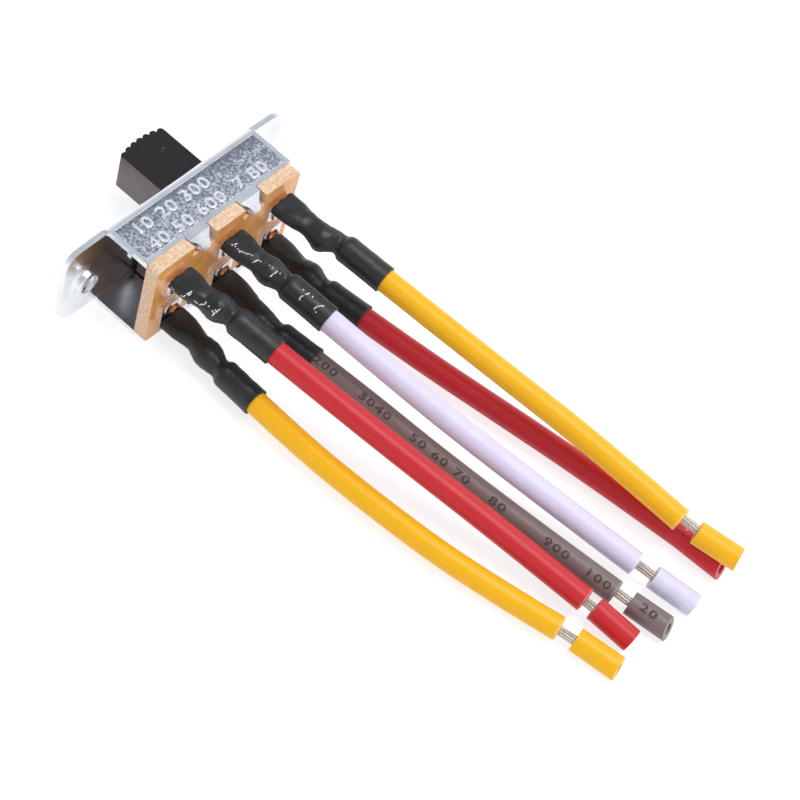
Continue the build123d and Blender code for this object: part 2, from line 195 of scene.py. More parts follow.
def ramp(tree, factor, stops):
    """A colour ramp through (place, colour) stops."""
    made = add_node(tree, "ShaderNodeValToRGB", {"Fac": factor})
    points = made.color_ramp.elements
    while len(points) < len(stops):
        points.new(0.5)
    for point, (place, colour) in zip(points, stops):
        point.position = place
        point.color = linear(colour)
    return made.outputs["Color"]


def new_material(name, **sockets):
    """A material with its Principled shader's uniform values set on the sockets."""
    material = bpy.data.materials.new(name)
    material.use_nodes = True
    tree = material.node_tree
    shader = tree.nodes["Principled BSDF"]
    for socket, value in sockets.items():
        shader.inputs[socket.replace("_", " ")].default_value = value
    return material, tree, shader


def feed(tree, shader, **outputs):
    """Link outputs to the shader's sockets."""
    for socket, output in outputs.items():
        tree.links.new(output, shader.inputs[socket.replace("_", " ")])


def object_place(tree):
    return add_node(tree, "ShaderNodeTexCoord").outputs["Object"]


def per_metre(size):
    """The scale of a noise whose features are about that size."""
    return 1 / size


def zinc_plate(colour):
    """Bright zinc on cold-rolled steel: soft mirror, faintly blue, with a fine rolled grain."""
    material, tree, shader = new_material("zinc_plate", Metallic=1.0)
    place = object_place(tree)
    cloud = add_node(tree, "ShaderNodeTexNoise", {"Vector": place, "Scale": per_metre(3 * MM), "Detail": 4.0})
    tint = ramp(tree, cloud.outputs["Fac"], [(0.3, "#DFE3E8"), (0.7, colour)])
    rough = add_node(
        tree, "ShaderNodeMapRange", {"Value": cloud.outputs["Fac"], "To Min": 0.2, "To Max": 0.32}
    )
    grain = add_node(
        tree, "ShaderNodeTexNoise", {"Vector": place, "Scale": per_metre(0.12 * MM), "Detail": 3.0}
    )
    bump = add_node(
        tree, "ShaderNodeBump",
        {"Height": grain.outputs["Fac"], "Strength": 0.25, "Distance": 0.01 * MM},
    )
    feed(tree, shader, Base_Color=tint, Roughness=rough.outputs["Result"], Normal=bump.outputs["Normal"])
    return material


def zinc_grained(colour):
    """Zinc over a stamped grain, with painted shade: the pits are painted darker and bluer than the crests,
    and the field is painted darker towards the bend.
    """
    material, tree, shader = new_material("zinc_grained", Metallic=1.0, Roughness=0.26)
    place = object_place(tree)
    pits = add_node(
        tree, "ShaderNodeTexNoise", {"Vector": place, "Scale": per_metre(0.32 * MM), "Detail": 4.0}
    )
    # Painted shade: the grain's pits are painted darker and bluer than its crests.
    tint = ramp(tree, pits.outputs["Fac"], [(0.34, "#8A919E"), (0.48, "#B2B8C2"), (0.62, colour)])
    split = add_node(tree, "ShaderNodeSeparateXYZ", {"Vector": place})
    # Painted shade: the field is painted darker and bluer towards the bend, from Y -2.7 mm to -1.3 mm.
    foot = add_node(
        tree, "ShaderNodeMapRange",
        {"Value": split.outputs["Y"], "From Min": -2.7 * MM, "From Max": -1.3 * MM, "To Max": 0.75},
    )
    shaded = add_node(
        tree, "ShaderNodeMix",
        {"Factor": foot.outputs["Result"], "A": tint, "B": linear("#7B8391")}, data_type="RGBA",
    )
    bump = add_node(
        tree, "ShaderNodeBump",
        {"Height": pits.outputs["Fac"], "Strength": 0.6, "Distance": 0.05 * MM},
    )
    feed(tree, shader, Base_Color=shaded.outputs[2], Normal=bump.outputs["Normal"])
    return material


def paper_laminate(face):
    """Phenolic paper laminate: glossy pressed faces, and sheared edges that show the paper's layers."""
    material, tree, shader = new_material("paper_laminate", IOR=1.55)
    coordinates = add_node(tree, "ShaderNodeTexCoord")
    place = coordinates.outputs["Object"]
    split = add_node(tree, "ShaderNodeSeparateXYZ", {"Vector": coordinates.outputs["Normal"]})
    facing = add_node(tree, "ShaderNodeMath", {0: split.outputs["Y"]}, operation="ABSOLUTE")
    on_face = add_node(
        tree, "ShaderNodeMapRange", {"Value": facing.outputs[0], "From Min": 0.55, "From Max": 0.9}
    )
    cloud = add_node(
        tree, "ShaderNodeTexNoise", {"Vector": place, "Scale": per_metre(2.2 * MM), "Detail": 5.0}
    )
    face_colour = ramp(tree, cloud.outputs["Fac"], [(0.25, "#DE9450"), (0.55, face), (0.8, "#F6C184")])
    layered = add_node(
        tree, "ShaderNodeMapping", {"Vector": place, "Scale": (0.8, 1.8, 0.8)}
    )
    fibre = add_node(
        tree, "ShaderNodeTexNoise", {"Vector": layered.outputs["Vector"], "Scale": per_metre(0.4 * MM),
                                     "Detail": 6.0, "Roughness": 0.65}
    )
    edge_colour = ramp(tree, fibre.outputs["Fac"], [(0.3, "#C39672"), (0.5, "#DFBD9B"), (0.7, "#F0DAC6")])
    colour = add_node(
        tree, "ShaderNodeMix",
        {"Factor": on_face.outputs["Result"], "A": edge_colour, "B": face_colour}, data_type="RGBA",
    )
    rough = add_node(
        tree, "ShaderNodeMapRange",
        {"Value": on_face.outputs["Result"], "To Min": 0.75, "To Max": 0.2},
    )
    bump = add_node(
        tree, "ShaderNodeBump",
        {"Height": fibre.outputs["Fac"], "Strength": 0.35, "Distance": 0.03 * MM},
    )
    feed(
        tree, shader, Base_Color=colour.outputs[2], Roughness=rough.outputs["Result"],
        Normal=bump.outputs["Normal"],
    )
    return material


def moulded_plastic(colour):
    """Black moulded ABS with a fine spark-eroded skin; the sides that face along X are painted paler as a
    painted reflection.
    """
    material, tree, shader = new_material("moulded_plastic", IOR=1.54, Specular_IOR_Level=0.3)
    coordinates = add_node(tree, "ShaderNodeTexCoord")
    place = coordinates.outputs["Object"]
    split = add_node(tree, "ShaderNodeSeparateXYZ", {"Vector": coordinates.outputs["Normal"]})
    sideways = add_node(tree, "ShaderNodeMath", {0: split.outputs["X"]}, operation="ABSOLUTE")
    skin = add_node(
        tree, "ShaderNodeTexNoise", {"Vector": place, "Scale": per_metre(0.25 * MM), "Detail": 3.0}
    )
    # Painted reflection: faces turned along X are painted a paler mauve grey.
    painted_reflection_sides = add_node(
        tree, "ShaderNodeMapRange", {"Value": sideways.outputs[0], "From Min": 0.9, "From Max": 1.0}
    )
    plain = ramp(tree, skin.outputs["Fac"], [(0.35, colour), (0.75, "#1E1B1E")])
    tone = add_node(
        tree, "ShaderNodeMix",
        {"Factor": painted_reflection_sides.outputs["Result"], "A": plain, "B": linear("#6A5E64")}, data_type="RGBA",
    )
    rough = add_node(
        tree, "ShaderNodeMapRange", {"Value": skin.outputs["Fac"], "To Min": 0.3, "To Max": 0.45}
    )
    bump = add_node(
        tree, "ShaderNodeBump", {"Height": skin.outputs["Fac"], "Strength": 0.2, "Distance": 0.02 * MM}
    )
    feed(
        tree, shader, Base_Color=tone.outputs[2], Roughness=rough.outputs["Result"],
        Normal=bump.outputs["Normal"],
    )
    return material


def plated(name, colour, dark, roughness, grain, depth, metallic=1.0):
    """A bare or plated metal whose tone and roughness drift over its surface."""
    material, tree, shader = new_material(name, Metallic=metallic)
    place = object_place(tree)
    cloud = add_node(tree, "ShaderNodeTexNoise", {"Vector": place, "Scale": per_metre(grain), "Detail": 4.0})
    tint = ramp(tree, cloud.outputs["Fac"], [(0.3, dark), (0.65, colour)])
    rough = add_node(
        tree, "ShaderNodeMapRange",
        {"Value": cloud.outputs["Fac"], "To Min": roughness * 0.8, "To Max": roughness * 1.2},
    )
    bump = add_node(
        tree, "ShaderNodeBump", {"Height": cloud.outputs["Fac"], "Strength": 0.4, "Distance": depth}
    )
    feed(tree, shader, Base_Color=tint, Roughness=rough.outputs["Result"], Normal=bump.outputs["Normal"])
    return material


def insulation(name, colour):
    """Extruded PVC: satin, with the slightest drift of tone and a faint draw along the wire."""
    material, tree, shader = new_material("pvc_" + name, IOR=1.53, Specular_IOR_Level=0.3, Roughness=0.38)
    place = object_place(tree)
    cloud = add_node(
        tree, "ShaderNodeTexNoise", {"Vector": place, "Scale": per_metre(1.6 * MM), "Detail": 3.0}
    )
    base = linear(colour)
    deep = [c * 0.9 for c in base[:3]] + [1.0]
    tone = add_node(
        tree, "ShaderNodeMix", {"Factor": cloud.outputs["Fac"], "A": deep, "B": base}, data_type="RGBA"
    )
    drawn = add_node(tree, "ShaderNodeMapping", {"Vector": place, "Scale": (1.0, 0.15, 1.0)})
    fine = add_node(
        tree, "ShaderNodeTexNoise",
        {"Vector": drawn.outputs["Vector"], "Scale": per_metre(0.3 * MM), "Detail": 3.0},
    )
    bump = add_node(
        tree, "ShaderNodeBump", {"Height": fine.outputs["Fac"], "Strength": 0.2, "Distance": 0.02 * MM}
    )
    feed(tree, shader, Base_Color=tone.outputs[2], Normal=bump.outputs["Normal"])
    return material


def cut_face(name, colour):
    """A knife-cut face of the same PVC: paler, dull and finely torn."""
    material, tree, shader = new_material("cut_" + name, Roughness=0.6)
    place = object_place(tree)
    torn = add_node(
        tree, "ShaderNodeTexNoise", {"Vector": place, "Scale": per_metre(0.35 * MM), "Detail": 4.0}
    )
    base = linear(colour)
    pale = [c + (1 - c) * 0.22 for c in base[:3]] + [1.0]
    tone = add_node(
        tree, "ShaderNodeMix", {"Factor": torn.outputs["Fac"], "A": base, "B": pale}, data_type="RGBA"
    )
    bump = add_node(
        tree, "ShaderNodeBump", {"Height": torn.outputs["Fac"], "Strength": 0.4, "Distance": 0.03 * MM}
    )
    feed(tree, shader, Base_Color=tone.outputs[2], Normal=bump.outputs["Normal"])
    return material


def shrunk_tubing(colour):
    """Black polyolefin tubing after shrinking: semi-gloss, with small folds and a dusty bloom."""
    material, tree, shader = new_material("shrunk_tubing", IOR=1.5)
    place = object_place(tree)
    cloud = add_node(
        tree, "ShaderNodeTexNoise", {"Vector": place, "Scale": per_metre(1.2 * MM), "Detail": 5.0}
    )
    tone = ramp(tree, cloud.outputs["Fac"], [(0.3, colour), (0.75, "#222022")])
    rough = add_node(
        tree, "ShaderNodeMapRange", {"Value": cloud.outputs["Fac"], "To Min": 0.32, "To Max": 0.5}
    )
    fine = add_node(
        tree, "ShaderNodeTexNoise", {"Vector": place, "Scale": per_metre(0.35 * MM), "Detail": 4.0}
    )
    bump = add_node(
        tree, "ShaderNodeBump", {"Height": fine.outputs["Fac"], "Strength": 0.25, "Distance": 0.04 * MM}
    )
    feed(tree, shader, Base_Color=tone, Roughness=rough.outputs["Result"], Normal=bump.outputs["Normal"])
    return material


def ink(name, colour, faded):
    """A thin printed ink, worn in places."""
    material, tree, shader = new_material("ink_" + name, Roughness=0.55)
    wear = add_node(
        tree, "ShaderNodeTexNoise",
        {"Vector": object_place(tree), "Scale": per_metre(0.25 * MM), "Detail": 3.0},
    )
    tint = ramp(tree, wear.outputs["Fac"], [(0.3, faded), (0.6, colour)])
    feed(tree, shader, Base_Color=tint)
    return material


# ---------------------------------------------------------------- pieces


def dress(node, material):
    """Give a CAD node's object a material."""
    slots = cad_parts[node].data.materials
    slots.clear()
    slots.append(material)


def smooth(mesh, angle=35):
    """Shade smooth, with the edges over that angle kept sharp."""
    mesh.shade_smooth()
    bpy.context.view_layer.update()
    mesh.set_sharp_from_angle(angle=math.radians(angle))


def linked(name, data):
    """An object of that data, in the scene."""
    made = bpy.data.objects.new(name, data)
    bpy.context.scene.collection.objects.link(made)
    return made


def thickened(made, name, thickness, offset):
    """Give a piece made as a bare sheet its thickness."""
    shell = made.modifiers.new(name, "SOLIDIFY")
    shell.thickness = thickness
    shell.offset = offset


def piece_from(bm, name, material, body=HOUSING, angle=35):
    """Turn a bmesh into a piece of the object that rides on a body."""
    mesh = bpy.data.meshes.new(name)
    bm.to_mesh(mesh)
    bm.free()
    mesh.materials.append(material)
    smooth(mesh, angle)
    made = linked(name, mesh)
    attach(made, body)
    return made


def softened(node, name, material, width, body=HOUSING, segments=2, angle=18):
    """A copy of a CAD node with its sharp edges rounded, which stands for it."""
    bm = bmesh.new()
    bm.from_mesh(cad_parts[node].data)
    bmesh.ops.remove_doubles(bm, verts=bm.verts, dist=WELD)
    bmesh.ops.dissolve_limit(bm, angle_limit=FLAT, verts=bm.verts, edges=bm.edges)
    made = piece_from(bm, name, material, body, angle)
    bevel = made.modifiers.new("Rounded edges", "BEVEL")
    bevel.width = width
    bevel.segments = segments
    bevel.limit_method = "ANGLE"
    bevel.angle_limit = SHARP
    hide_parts(node)
    return made


def curve_line(points, order=3):
    """The smooth line of a NURBS spline through control points, as a bare poly line."""
    data = spline_data("line", points, order)
    data.resolution_u = 24
    line = linked("line", data)
    mesh = bpy.data.meshes.new_from_object(line)
    found = [v.co.copy() for v in mesh.vertices]
    bpy.data.objects.remove(line)
    bpy.data.curves.remove(data)
    bpy.data.meshes.remove(mesh)
    return found


def spline_data(name, points, order=3):
    """A curve of one NURBS spline with those control points."""
    data = bpy.data.curves.new(name, "CURVE")
    data.dimensions = "3D"
    spline = data.splines.new("NURBS")
    spline.points.add(len(points) - 1)
    for control, point in zip(spline.points, points):
        control.co = (*point, 1.0)
    spline.order_u = order
    spline.use_endpoint_u = True
    return data


class Line:
    """A smooth line that pieces follow by their distance along it."""

    def __init__(self, points):
        self.points = points
        self.lengths = [0.0]
        for a, b in zip(self.points, self.points[1:]):
            self.lengths.append(self.lengths[-1] + (b - a).length)

    @property
    def length(self):
        return self.lengths[-1]

    def heading_at(self, index):
        """The line's direction at one of its points."""
        ahead = self.points[min(index + 1, len(self.points) - 1)]
        return (ahead - self.points[max(index - 1, 0)]).normalized()

    def frame_at(self, distance):
        """The place on the line, turned so that X is level across it and Z runs along it."""
        index = 0
        while index < len(self.points) - 2 and self.lengths[index + 1] < distance:
            index += 1
        a, b = self.points[index], self.points[index + 1]
        share = (distance - self.lengths[index]) / (b - a).length
        held = max(0.0, min(1.0, share))
        heading = self.heading_at(index).lerp(self.heading_at(index + 1), held).normalized()
        across = Vector((0, 0, 1)).cross(heading).normalized()
        place = Matrix((across, heading.cross(across), heading)).transposed().to_4x4()
        place.translation = a + (b - a) * share
        return place


def metres(points):
    return [Vector(point) * MM for point in points]


# ---------------------------------------------------------------- operators


class SWITCH_OT_stage(bpy.types.Operator):
    """Make the floor, the lamps, the pale surround and the camera"""

    bl_idname = "switch.stage"
    bl_label = "Stage"

    def execute(self, context):
        low, high = cad_box
        centre = (low + high) / 2
        self.make_floor(centre, low.z)
        self.make_world()
        self.make_lamp("key", centre + Vector((0.06, -0.06, 0.4)), centre, 0.22, 0.95)
        self.make_lamp("fill", centre + Vector((0.35, -0.1, 0.2)), centre, 0.25, 0.25)
        self.make_camera()
        context.scene.view_settings.view_transform = "Standard"
        return {"FINISHED"}

    def make_floor(self, centre, height):
        """A wide white table that shows as plain white and still takes the object's shadow."""
        bm = bmesh.new()
        bmesh.ops.create_grid(bm, x_segments=1, y_segments=1, size=3.0)
        bmesh.ops.translate(bm, verts=bm.verts, vec=(centre.x, centre.y, height - 0.02 * MM))
        mesh = bpy.data.meshes.new("floor")
        bm.to_mesh(mesh)
        bm.free()
        floor = linked("floor", mesh)
        material, tree, shader = new_material("white_table", Roughness=0.6)
        eye = self.seen_rays(tree)
        for socket, plain, seen in (("Base Color", 0.85, 0.35), ("Emission Color", 0.2, 0.75)):
            shade = add_node(
                tree, "ShaderNodeMix",
                {"Factor": eye, "A": (plain, plain, plain, 1.0), "B": (seen, seen, seen, 1.0)},
                data_type="RGBA",
            )
            tree.links.new(shade.outputs[2], shader.inputs[socket])
        shader.inputs["Emission Strength"].default_value = 1.0
        mesh.materials.append(material)

    def seen_rays(self, tree):
        """1 for rays from the eye, straight or by a mirror, and 0 for the light that things give."""
        rays = add_node(tree, "ShaderNodeLightPath").outputs
        seen = add_node(
            tree, "ShaderNodeMath", {0: rays["Is Camera Ray"], 1: rays["Is Glossy Ray"]}, operation="MAXIMUM"
        )
        through = add_node(
            tree, "ShaderNodeMath", {0: seen.outputs[0], 1: rays["Is Transmission Ray"]}, operation="MAXIMUM"
        )
        return through.outputs[0]

    def make_world(self):
        """A white surround for the eye, and a soft sky that is dimmer overhead for light and gloss."""
        world = bpy.data.worlds.new("surround")
        world.use_nodes = True
        bpy.context.scene.world = world
        tree = world.node_tree
        tree.nodes.clear()
        direction = add_node(tree, "ShaderNodeTexCoord").outputs["Generated"]
        height = add_node(tree, "ShaderNodeSeparateXYZ", {"Vector": direction}).outputs["Z"]
        sky = ramp(tree, height, [(0.0, "#FFFFFF"), (0.3, "#F0F0F2"), (0.7, "#C4C9D2"), (1.0, "#B4B8C0")])
        rays = add_node(tree, "ShaderNodeLightPath")
        seen = add_node(
            tree, "ShaderNodeMix",
            {"Factor": rays.outputs["Is Camera Ray"], "A": sky, "B": (1.0, 1.0, 1.0, 1.0)}, data_type="RGBA",
        )
        light = add_node(tree, "ShaderNodeBackground", {"Color": seen.outputs[2], "Strength": 1.0})
        out = add_node(tree, "ShaderNodeOutputWorld")
        tree.links.new(light.outputs[0], out.inputs[0])

    def make_lamp(self, name, place, target, size, power):
        lamp = bpy.data.lights.new(name, "AREA")
        lamp.size = size
        lamp.energy = power
        made = linked(name, lamp)
        made.location = place
        made.rotation_euler = (target - place).to_track_quat("-Z", "Y").to_euler()

    def make_camera(self):
        camera = bpy.data.cameras.new("camera")
        camera.lens = 92.8
        camera.sensor_width = 36.0
        camera.clip_start = 0.01
        made = linked("camera", camera)
        made.location = (-0.122713, -0.085839, 0.180493)
        made.rotation_euler = [math.radians(turn) for turn in (34.5, -12.922, -49.336)]
        bpy.context.scene.camera = made


class SWITCH_OT_bracket(bpy.types.Operator):
    """Plate the bracket and round its sheared edges"""

    bl_idname = "switch.bracket"
    bl_label = "Bracket"

    def execute(self, context):
        zinc = zinc_plate(context.scene.switch_housing.zinc)
        softened("bracket", "plated_bracket", zinc, 0.05 * MM)
        return {"FINISHED"}


class SWITCH_OT_board(bpy.types.Operator):
    """Finish the insulating board as paper laminate"""

    bl_idname = "switch.board"
    bl_label = "Board"

    def execute(self, context):
        laminate = paper_laminate(context.scene.switch_housing.laminate)
        softened("terminal_board", "laminate_board", laminate, 0.12 * MM, segments=3)
        return {"FINISHED"}


class SWITCH_OT_slider(bpy.types.Operator):
    """Finish the knob and carriage as one black moulding"""

    bl_idname = "switch.slider"
    bl_label = "Slider"

    def execute(self, context):
        black = moulded_plastic(context.scene.switch_housing.moulding)
        softened("slider", "moulded_slider", black, 0.1 * MM, SLIDER, angle=8)
        return {"FINISHED"}


class SWITCH_OT_contacts(bpy.types.Operator):
    """Finish the terminals, rivets, clips, springs and solder"""

    bl_idname = "switch.contacts"
    bl_label = "Contacts"

    def execute(self, context):
        tin = plated("bright_tin", "#F5F2F2", "#E2DCDC", 0.3, 0.8 * MM, 0.008 * MM)
        rim = plated("rivet_tin", "#F0EAEA", "#D9CFCD", 0.25, 0.6 * MM, 0.008 * MM)
        brass = plated("rivet_brass", "#F0A05C", "#D47C3C", 0.45, 0.5 * MM, 0.008 * MM)
        strip = plated("spring_brass", "#D9B56A", "#B98F48", 0.25, 0.7 * MM, 0.006 * MM)
        steel = plated("spring_steel", "#B9BBC2", "#8F929A", 0.25, 0.5 * MM, 0.006 * MM)
        solder = plated("tin_lead_solder", "#B9BABE", "#8E9096", 0.4, 0.4 * MM, 0.03 * MM)
        for side in ("upper", "lower"):
            dress("contact_clip_" + side, strip)
            dress("clip_spring_" + side, steel)
        for name in LEADS:
            softened("terminal_" + name, "tinned_terminal_" + name, tin, 0.03 * MM)
            dress("contact_rivet_" + name, rim)
            dress("solder_joint_" + name, solder)
            self.make_bore_floor(name, brass)
        return {"FINISHED"}

    def make_bore_floor(self, name, brass):
        """The rolled rivet's worn lip and the dished brass a little way down its bore."""
        low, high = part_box("contact_rivet_" + name)
        centre = ((low.x + high.x) / 2, low.y, (low.z + high.z) / 2)
        profile = (
            (0.0, 0.36), (0.3, 0.33), (0.5, 0.18), (0.6, 0.0),
            (0.67, -0.015), (0.71, 0.005), (0.58, 0.45), (0.0, 0.45),
        )
        bm = bmesh.new()
        cup = [bm.verts.new((out * MM, down * MM, 0)) for out, down in profile]
        edges = [bm.edges.new(pair) for pair in zip(cup, cup[1:])]
        bmesh.ops.spin(bm, geom=cup + edges, axis=(0, 1, 0), angle=2 * math.pi, steps=32, use_merge=True)
        bmesh.ops.remove_doubles(bm, verts=bm.verts, dist=WELD)
        bmesh.ops.translate(bm, verts=bm.verts, vec=centre)
        bmesh.ops.recalc_face_normals(bm, faces=bm.faces)
        piece_from(bm, "rivet_floor_" + name, brass)


class SWITCH_OT_leads(bpy.types.Operator):
    """Make the insulated wires, their cut ends, loose slugs, printing and bare strands"""

    bl_idname = "switch.leads"
    bl_label = "Leads"

    # Groups of numerals printed along the grey lead, by mm from its start, and the one on its
    # slug, by mm back from the slug's far end.
    groups = ((4.9, "200"), (11.5, "3040"), (18.9, "50 60 70"), (30.0, "80"), (37.4, "900"), (42.9, "100"))
    slug_group = (4.3, "20")
    # Where the print stands round the wire, and how far it creeps on over a length, in degrees.
    print_turn, print_creep, creep_length = -16, 14, 30 * MM
    print_height, print_middle, print_lift = 0.9 * MM, 0.43 * MM, 0.012 * MM
    # How far each slug's far end is cut out of square.
    slants = {"grey_lower": 0.32, "red_lower": 0.3, "yellow_upper": 0.16, "yellow_lower": 0.16}
    # How far a cut end is drawn out towards its slug, in mm.
    torn = {"red_lower": 0.09}
    # How far a strand winds round the bundle, and in how many steps.
    twist, twist_steps = math.radians(28), 14

    def execute(self, context):
        settings = context.scene.switch_leads
        tinned = plated("tinned_strand", "#CFC6BB", "#A89E93", 0.42, 2.0 * MM, 0.002 * MM)
        coats = {c: insulation(c, getattr(settings, c)) for c in ("yellow", "white", "red", "grey")}
        cuts = {c: cut_face(c, getattr(settings, c)) for c in coats}
        for name, (colour, route, tip, _, _) in LEADS.items():
            points = metres(route)
            end = Vector(tip) * MM
            coat, slot = coats[colour], "wire_" + colour
            slug = softened("end_slug_" + name, "cut_slug_" + name, coat, 0.06 * MM)
            self.slant_end(slug, self.slants.get(name, 0.0))
            self.pale_ends(slug, cuts[colour])
            strands = self.make_strands(name, points, end, tinned, settings)
            rim = coat if name in self.torn else cuts[colour]
            lip = self.make_lip(name, points, rim, colour, settings)
            marks = self.print_numerals(points, end, settings) if colour == "grey" else []
            self.make_wire(name, points, coat, colour, settings, [slug, strands, lip, *marks])
        return {"FINISHED"}

    def make_wire(self, name, points, coat, colour, settings, pieces):
        data = spline_data("insulation_" + name, points)
        data.resolution_u = 16
        data.bevel_depth = settings.diameter / 2
        data.bevel_resolution = 8
        data.use_fill_caps = True
        data.materials.append(coat)
        wire = linked("insulation_" + name, data)
        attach(wire, HOUSING)
        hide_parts("wire_" + name)
        Line(curve_line(points)).length

    def pale_ends(self, slug, cut):
        """Give the faces across a slug's two ends the cut finish."""
        slug.data.materials.append(cut)
        for face in slug.data.polygons:
            if abs(face.normal.y) > 0.85:
                face.material_index = 1

    def slant_end(self, slug, slope):
        """Cut a slug's far end on the skew, so that its upper side is the shorter."""
        far = min(v.co.y for v in slug.data.vertices)
        foot = min(v.co.z for v in slug.data.vertices)
        for v in slug.data.vertices:
            if v.co.y < far + 1.2 * MM:
                v.co.y += slope * (v.co.z - foot)

    def make_lip(self, name, points, cut, colour, settings):
        """The cut end of the insulation: a face with a soft rim round the strands."""
        line = Line(curve_line(points))
        outer, inner = settings.diameter / 2, settings.core / 2
        torn = self.torn.get(name, 0.0)
        profile = [
            (inner, -0.2), (inner, -0.02 + torn), (inner + 0.12 * MM, 0.06 + torn),
            (outer - 0.14 * MM, 0.08 + torn), (outer - 0.02 * MM, 0.03 + torn),
            (outer + 0.01 * MM, -0.06 + torn), (outer + 0.005 * MM, -0.2),
        ]
        bm = bmesh.new()
        verts = [bm.verts.new((out, 0, line.length + up * MM)) for out, up in profile]
        edges = [bm.edges.new((a, b)) for a, b in zip(verts, verts[1:] + verts[:1])]
        bmesh.ops.spin(
            bm, geom=verts + edges, cent=(0, 0, 0), axis=(0, 0, 1), angle=2 * math.pi, steps=40,
            use_merge=True,
        )
        bmesh.ops.recalc_face_normals(bm, faces=bm.faces)
        lay_along(bm, line)
        return piece_from(bm, "cut_lip_" + name, cut)

    def print_numerals(self, points, end, settings):
        """Numerals that run along the wire and creep round it, and on to the slug."""
        dark = ink("brown", "#3C302C", "#5E504A")
        line = Line(curve_line(points))
        bm = bmesh.new()
        for start, text in self.groups:
            self.add_group(bm, text, start * MM, line, settings)
        made = [piece_from(bm, "printed_numerals", dark)]
        bm = bmesh.new()
        far = Line([points[-1], end])
        self.add_group(bm, self.slug_group[1], far.length - self.slug_group[0] * MM, far, settings)
        made.append(piece_from(bm, "printed_numerals_on_slug", dark))
        for piece in made:
            thickened(piece, "Ink", 0.01 * MM, 0.0)
        return made

    def add_group(self, bm, text, start, line, settings):
        """Set one group of numerals flat, slice it and wrap it round the wire."""
        group = numerals(text, self.print_height, stretch=1.55, spacing=1.22, weight=0.022 * MM)
        sliced(group, 1, 0.12 * MM)
        radius = settings.diameter / 2
        for v in group.verts:
            along = start + v.co.x
            crept = self.print_creep * min(1.0, along / self.creep_length)
            turn = math.radians(self.print_turn - crept) + (v.co.y - self.print_middle) / radius
            out = radius + self.print_lift
            v.co = line.frame_at(along) @ Vector((math.sin(turn) * out, math.cos(turn) * out, 0))
        wrapped = bpy.data.meshes.new("group")
        group.to_mesh(wrapped)
        group.free()
        bm.from_mesh(wrapped)
        bpy.data.meshes.remove(wrapped)

    def make_strands(self, name, points, tip, tinned, settings):
        """A slightly twisted bundle from inside the insulation's end to inside the slug."""
        line = Line(curve_line([*points[-2:], tip]))
        first = (points[-1] - points[-2]).length - 1.5 * MM
        last = line.length - 2.0 * MM
        count = settings.strands
        share = math.sin(math.pi / count)
        strand = settings.core / 2 * share / (1 + share)
        bm = bmesh.new()
        for i in range(count):
            around = Matrix.Rotation(2 * math.pi * i / count, 4, "Z")
            place = around @ Matrix.Translation((settings.core / 2 - strand, 0, first))
            ring = bmesh.ops.create_circle(bm, segments=10, radius=strand, matrix=place)["verts"]
            self.wind(bm, ring, last - first)
        core = settings.core / 2 - strand
        bmesh.ops.create_cone(
            bm, cap_ends=True, segments=18, radius1=core, radius2=core, depth=last - first,
            matrix=Matrix.Translation((0, 0, (first + last) / 2)),
        )
        lay_along(bm, line)
        bmesh.ops.recalc_face_normals(bm, faces=bm.faces)
        made = piece_from(bm, "strands_" + name, tinned)
        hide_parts("conductor_" + name)
        return made

    def wind(self, bm, ring, length):
        """Wind a strand's ring up the bundle by a slow turn."""
        edges = list({e for v in ring for e in v.link_edges})
        bmesh.ops.spin(
            bm, geom=ring + edges, cent=(0, 0, 0), axis=(0, 0, 1), dvec=(0, 0, length / self.twist_steps),
            angle=self.twist, steps=self.twist_steps, use_merge=False,
        )


def lay_along(bm, line):
    """Bend a bmesh built up the Z axis so that it follows a line."""
    for v in bm.verts:
        v.co = line.frame_at(v.co.z) @ Vector((v.co.x, v.co.y, 0))


# Along each sleeve: distance in mm from its start, half width, half height, and how far the
# section is squared off towards a flattened tube. The insulation starts at the shoulder.
STATIONS = [
    (0.0, 1.92, 0.76, 0.5),
    (1.0, 1.9, 0.76, 0.45),
    (1.9, 1.86, 0.84, 0.35),
    (2.7, 1.68, 0.96, 0.2),
    (3.4, 1.48, 1.1, 0.1),
    (4.1, 1.42, 1.16, 0.0),
    (4.8, 1.58, 1.38, 0.0),
    (5.6, 1.72, 1.62, 0.0),
    (6.3, 1.66, 1.6, 0.0),
    (7.0, 1.42, 1.42, 0.0),
    (7.6, 1.2, 1.22, 0.0),
    (8.0, 1.24, 1.26, 0.0),
    (8.4, 1.6, 1.6, 0.0),
    (8.8, 1.67, 1.67, 0.0),
    (9.6, 1.64, 1.64, 0.0),
    (13.0, 1.64, 1.64, 0.0),
    (14.0, 1.66, 1.66, 0.0),
    (14.3, 1.7, 1.7, 0.0),
]
SHOULDER = 8.4
LUG_COVER = 1.7 * MM
HALF_LUG = 0.215 * MM


def sleeve_line(name, points):
    """Level along the lug, easing over the joint, then on along the insulation."""
    low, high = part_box("terminal_" + name)
    level = high.z - HALF_LUG if high.z > 0 else low.z + HALF_LUG
    start = Vector(((low.x + high.x) / 2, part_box("sleeve_" + name)[1].y, level))
    eased = start - Vector((0, LUG_COVER, 0))
    heading = (points[1] - points[0]).normalized()
    chord = (points[0] - eased).length
    swing = curve_line(
        [eased, eased - Vector((0, chord * 0.45, 0)), points[0] - heading * chord / 3, points[0]], 4
    )
    shoulder = Line([start, *swing]).length
    return Line([start, *swing, *curve_line(points)[1:]]), shoulder


def sleeve_place(line, shoulder, grip, along):
    """The place on a sleeve's centre line, its joint and its grip each stretched to fit."""
    if along < SHOULDER:
        return line.frame_at(along * shoulder / SHOULDER)
    share = (along - SHOULDER) / (STATIONS[-1][0] - SHOULDER)
    return line.frame_at(shoulder + share * grip * MM)


